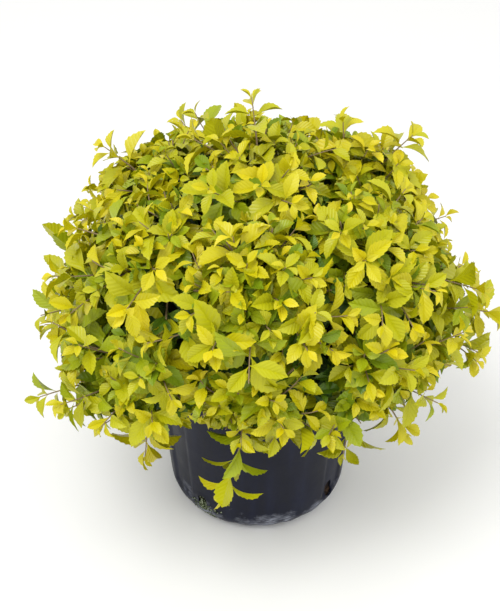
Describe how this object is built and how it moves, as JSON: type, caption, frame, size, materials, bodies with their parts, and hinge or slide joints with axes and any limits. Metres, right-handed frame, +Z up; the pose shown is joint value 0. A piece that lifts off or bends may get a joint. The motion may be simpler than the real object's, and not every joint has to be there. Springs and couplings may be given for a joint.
{
  "type": "potted gold mound duranta shrub",
  "caption": "Flat-topped mound of golden foliage on a short branched stem, growing from potting mix in a round black nursery pot.",
  "frame": {"origin": "centre of the pot's flat underside, on the surface it stands on", "axes": "+Z up the pot's axis, -Y towards the front that the picture shows, +X to the right seen from the front"},
  "size_m": [0.5527, 0.483, 0.5519],
  "materials": {
    "pot": "satin",
    "soil": "matte",
    "bark": "matte",
    "leaves": "satin"
  },
  "bodies": {
    "root": {"pot": "pot", "soil": "soil", "trunk": "bark", "bough_lower_1": "bark", "bough_lower_2": "bark", "bough_lower_3": "bark", "bough_lower_4": "bark", "bough_lower_5": "bark", "bough_lower_6": "bark", "bough_lower_7": "bark", "bough_lower_8": "bark", "bough_upper_1": "bark", "bough_upper_2": "bark", "bough_upper_3": "bark", "bough_upper_4": "bark", "bough_upper_5": "bark", "bough_upper_6": "bark", "foliage_lower_1": "leaves", "foliage_lower_2": "leaves", "foliage_lower_3": "leaves", "foliage_lower_4": "leaves", "foliage_lower_5": "leaves", "foliage_lower_6": "leaves", "foliage_lower_7": "leaves", "foliage_lower_8": "leaves", "foliage_upper_1": "leaves", "foliage_upper_2": "leaves", "foliage_upper_3": "leaves", "foliage_upper_4": "leaves", "foliage_upper_5": "leaves", "foliage_upper_6": "leaves", "foliage_top": "leaves"}
  },
  "joints": []
}
